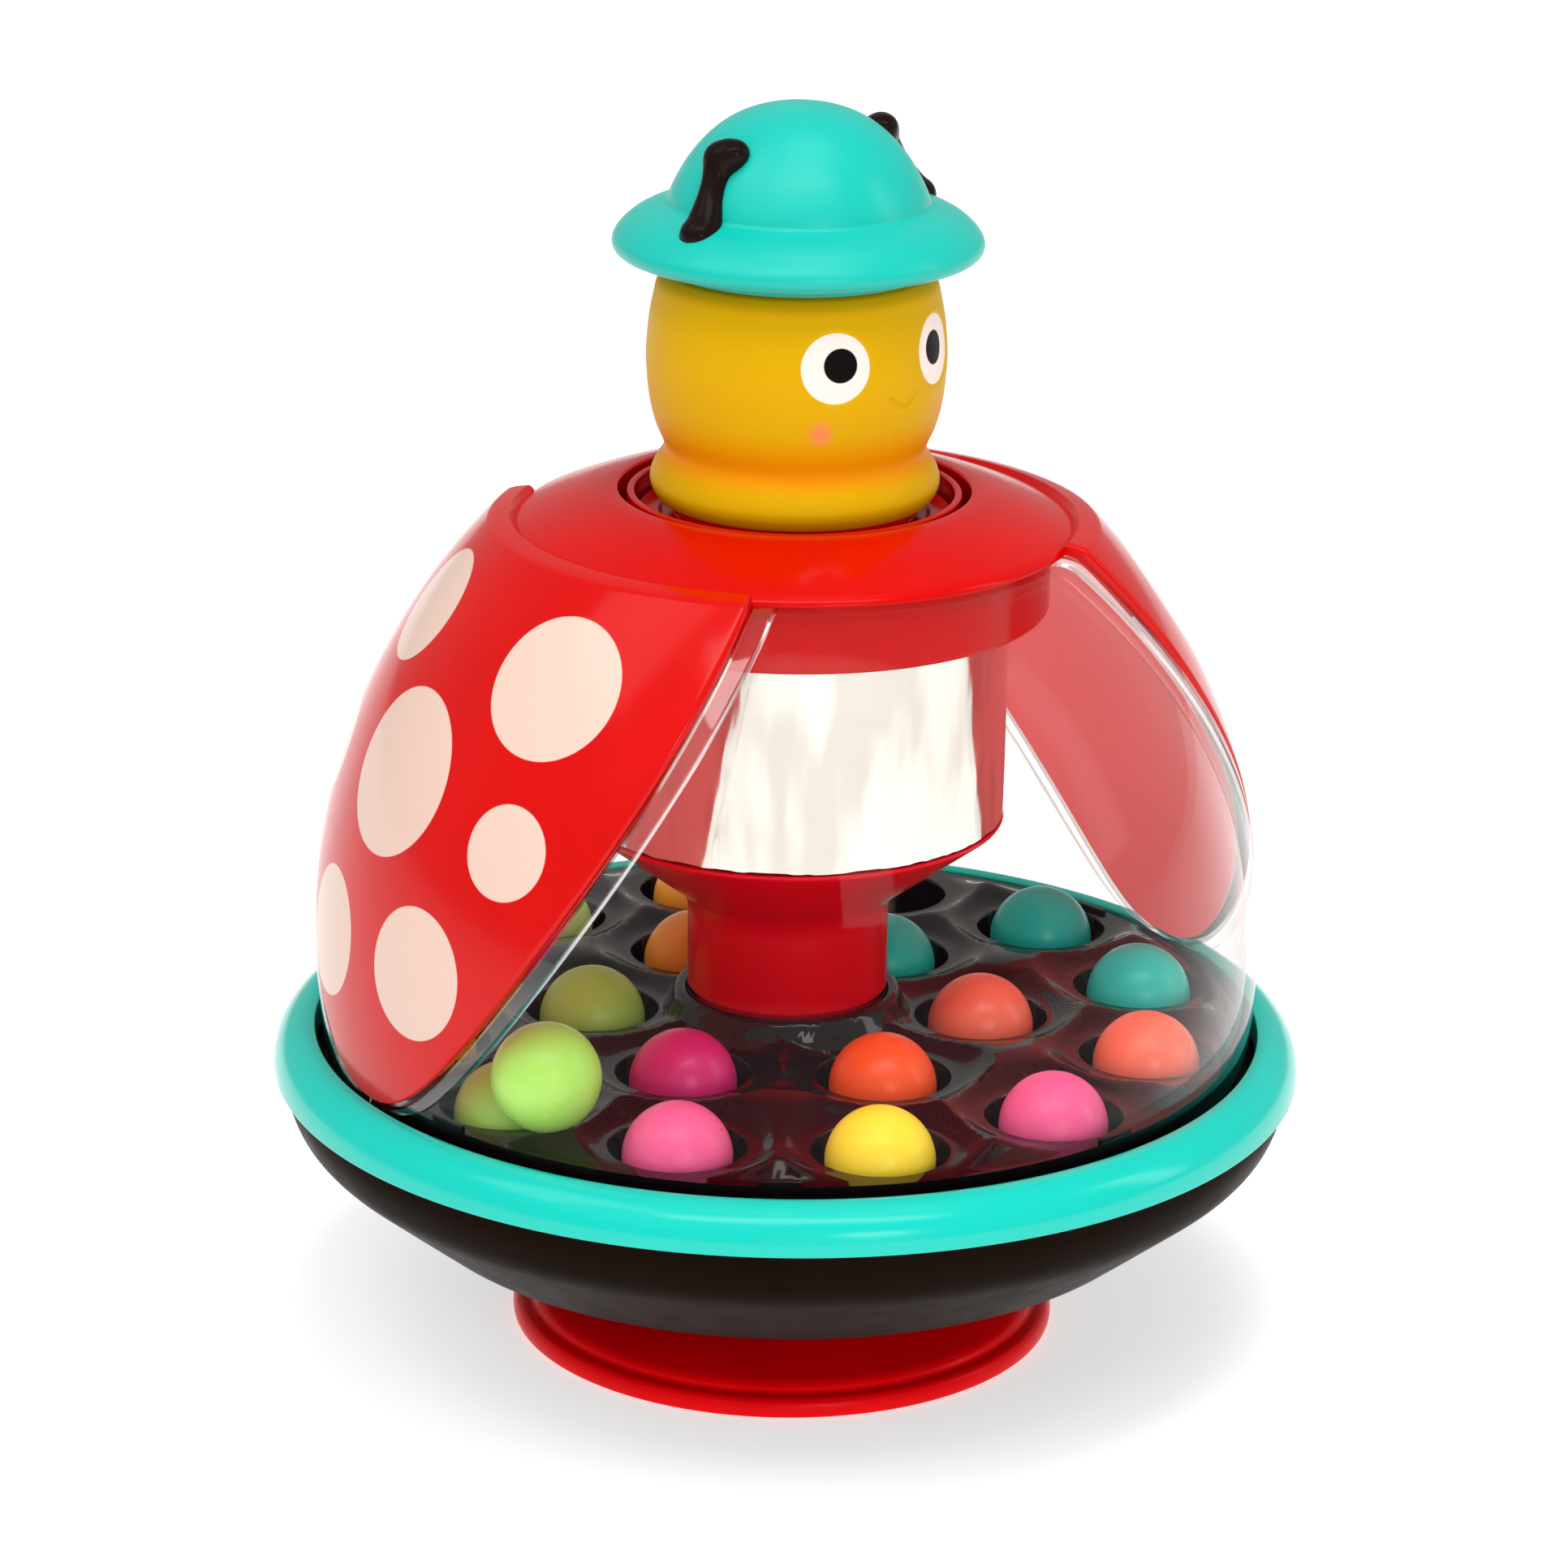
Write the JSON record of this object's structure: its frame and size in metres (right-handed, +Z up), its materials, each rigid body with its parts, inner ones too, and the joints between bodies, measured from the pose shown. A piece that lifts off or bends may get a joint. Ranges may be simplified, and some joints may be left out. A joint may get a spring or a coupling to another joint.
{
  "type": "spinning top",
  "caption": "Push-down spinning top: a bug's head plunger over a clear domed body with red wings and loose balls, turning on a still foot.",
  "frame": {"origin": "centre of the foot's bottom face, on the spin axis", "axes": "+Z up the spin axis; -Y is the middle of the clear window nearest the face; the wings are at +X and -X"},
  "size_m": [0.184, 0.184, 0.2234],
  "materials": {
    "dark_red": "glossy moulded",
    "steel": "plated",
    "nylon": "natural",
    "yellow_vinyl": "matt soft vinyl",
    "teal_vinyl": "matt soft vinyl",
    "red": "glossy moulded",
    "black": "high gloss moulded",
    "teal": "satin moulded",
    "clear": "clear polished plastic",
    "mirror_film": "silvered",
    "pink_ball": "satin",
    "coral_ball": "satin",
    "aqua_ball": "satin",
    "amber_ball": "satin",
    "lime_ball": "satin",
    "yellow_ball": "satin",
    "magenta_ball": "satin",
    "orange_ball": "satin"
  },
  "bodies": {
    "foot": {"suction_foot": "dark_red", "guide_post": "steel", "post_cap": "steel", "post_screw": "steel", "thrust_washer": "nylon", "retaining_ring": "steel", "foot_screw_1": "steel", "foot_screw_2": "steel", "foot_screw_3": "steel", "return_spring": "steel"},
    "head": {"head_shell": "yellow_vinyl", "hat": "teal_vinyl", "head_core": "nylon", "guide_disc": "red", "spindle": "nylon", "head_screw": "steel"},
    "nut": {"drive_nut": "nylon"},
    "spinning_body": {"lower_bowl": "black", "rim_ring": "teal", "ball_tray": "black", "clear_dome": "clear", "left_wing": "red", "right_wing": "red", "shoulder_collar": "red", "inner_skirt": "red", "mirror_drum": "mirror_film", "drive_column": "dark_red", "guide_bush": "red", "clutch_ring": "nylon", "nut_keeper": "nylon", "hub_bush": "nylon", "bowl_screw_1": "steel", "bowl_screw_2": "steel", "bowl_screw_3": "steel"},
    "ball_outer_01": {"ball_outer_01": "pink_ball"},
    "ball_outer_02": {"ball_outer_02": "coral_ball"},
    "ball_outer_03": {"ball_outer_03": "aqua_ball"},
    "ball_outer_04": {"ball_outer_04": "aqua_ball"},
    "ball_outer_06": {"ball_outer_06": "amber_ball"},
    "ball_outer_07": {"ball_outer_07": "lime_ball"},
    "ball_outer_08": {"ball_outer_08": "magenta_ball"},
    "ball_outer_09": {"ball_outer_09": "yellow_ball"},
    "ball_outer_10": {"ball_outer_10": "lime_ball"},
    "ball_outer_11": {"ball_outer_11": "pink_ball"},
    "ball_outer_12": {"ball_outer_12": "yellow_ball"},
    "ball_inner_1": {"ball_inner_1": "orange_ball"},
    "ball_inner_2": {"ball_inner_2": "coral_ball"},
    "ball_inner_3": {"ball_inner_3": "aqua_ball"},
    "ball_inner_4": {"ball_inner_4": "amber_ball"},
    "ball_inner_5": {"ball_inner_5": "lime_ball"},
    "ball_inner_6": {"ball_inner_6": "magenta_ball"},
    "ball_loose": {"ball_loose": "lime_ball"}
  },
  "joints": [
    {"name": "body_spin", "type": "hinge", "parent": "foot", "child": "spinning_body", "pos_m": [0, 0, 0.03], "axis": [0, 0, 1], "continuous": true},
    {"name": "head_push", "type": "slide", "parent": "foot", "child": "head", "axis": [0, 0, -1], "range_m": [0, 0.034], "stiffness_N_per_m": 220, "springref_m": -0.03, "deforming": ["return_spring"]},
    {"name": "nut_turn", "type": "hinge", "parent": "foot", "child": "nut", "pos_m": [0, 0, 0.078], "axis": [0, 0, 1], "range_deg": [0, 206]},
    {"name": "ball_outer_01_hop", "type": "slide", "parent": "spinning_body", "child": "ball_outer_01", "axis": [0, 0, 1], "range_m": [0, 0.012]},
    {"name": "ball_outer_02_hop", "type": "slide", "parent": "spinning_body", "child": "ball_outer_02", "axis": [0, 0, 1], "range_m": [0, 0.012]},
    {"name": "ball_outer_03_hop", "type": "slide", "parent": "spinning_body", "child": "ball_outer_03", "axis": [0, 0, 1], "range_m": [0, 0.012]},
    {"name": "ball_outer_04_hop", "type": "slide", "parent": "spinning_body", "child": "ball_outer_04", "axis": [0, 0, 1], "range_m": [0, 0.012]},
    {"name": "ball_outer_06_hop", "type": "slide", "parent": "spinning_body", "child": "ball_outer_06", "axis": [0, 0, 1], "range_m": [0, 0.012]},
    {"name": "ball_outer_07_hop", "type": "slide", "parent": "spinning_body", "child": "ball_outer_07", "axis": [0, 0, 1], "range_m": [0, 0.012]},
    {"name": "ball_outer_08_hop", "type": "slide", "parent": "spinning_body", "child": "ball_outer_08", "axis": [0, 0, 1], "range_m": [0, 0.012]},
    {"name": "ball_outer_09_hop", "type": "slide", "parent": "spinning_body", "child": "ball_outer_09", "axis": [0, 0, 1], "range_m": [0, 0.012]},
    {"name": "ball_outer_10_hop", "type": "slide", "parent": "spinning_body", "child": "ball_outer_10", "axis": [0, 0, 1], "range_m": [0, 0.008]},
    {"name": "ball_outer_11_hop", "type": "slide", "parent": "spinning_body", "child": "ball_outer_11", "axis": [0, 0, 1], "range_m": [0, 0.012]},
    {"name": "ball_outer_12_hop", "type": "slide", "parent": "spinning_body", "child": "ball_outer_12", "axis": [0, 0, 1], "range_m": [0, 0.012]},
    {"name": "ball_inner_1_hop", "type": "slide", "parent": "spinning_body", "child": "ball_inner_1", "axis": [0, 0, 1], "range_m": [0, 0.012]},
    {"name": "ball_inner_2_hop", "type": "slide", "parent": "spinning_body", "child": "ball_inner_2", "axis": [0, 0, 1], "range_m": [0, 0.012]},
    {"name": "ball_inner_3_hop", "type": "slide", "parent": "spinning_body", "child": "ball_inner_3", "axis": [0, 0, 1], "range_m": [0, 0.012]},
    {"name": "ball_inner_4_hop", "type": "slide", "parent": "spinning_body", "child": "ball_inner_4", "axis": [0, 0, 1], "range_m": [0, 0.012]},
    {"name": "ball_inner_5_hop", "type": "slide", "parent": "spinning_body", "child": "ball_inner_5", "axis": [0, 0, 1], "range_m": [0, 0.012]},
    {"name": "ball_inner_6_hop", "type": "slide", "parent": "spinning_body", "child": "ball_inner_6", "axis": [0, 0, 1], "range_m": [0, 0.012]},
    {"name": "ball_loose_hop", "type": "slide", "parent": "spinning_body", "child": "ball_loose", "axis": [0, 0, 1], "range_m": [0, 0.008]}
  ],
  "couplings": [
    {"joint": "nut_turn", "follows": "head_push", "rad_per_m": 104.72},
    {"joint": "ball_loose_hop", "follows": "ball_outer_10_hop", "ratio": 1}
  ]
}
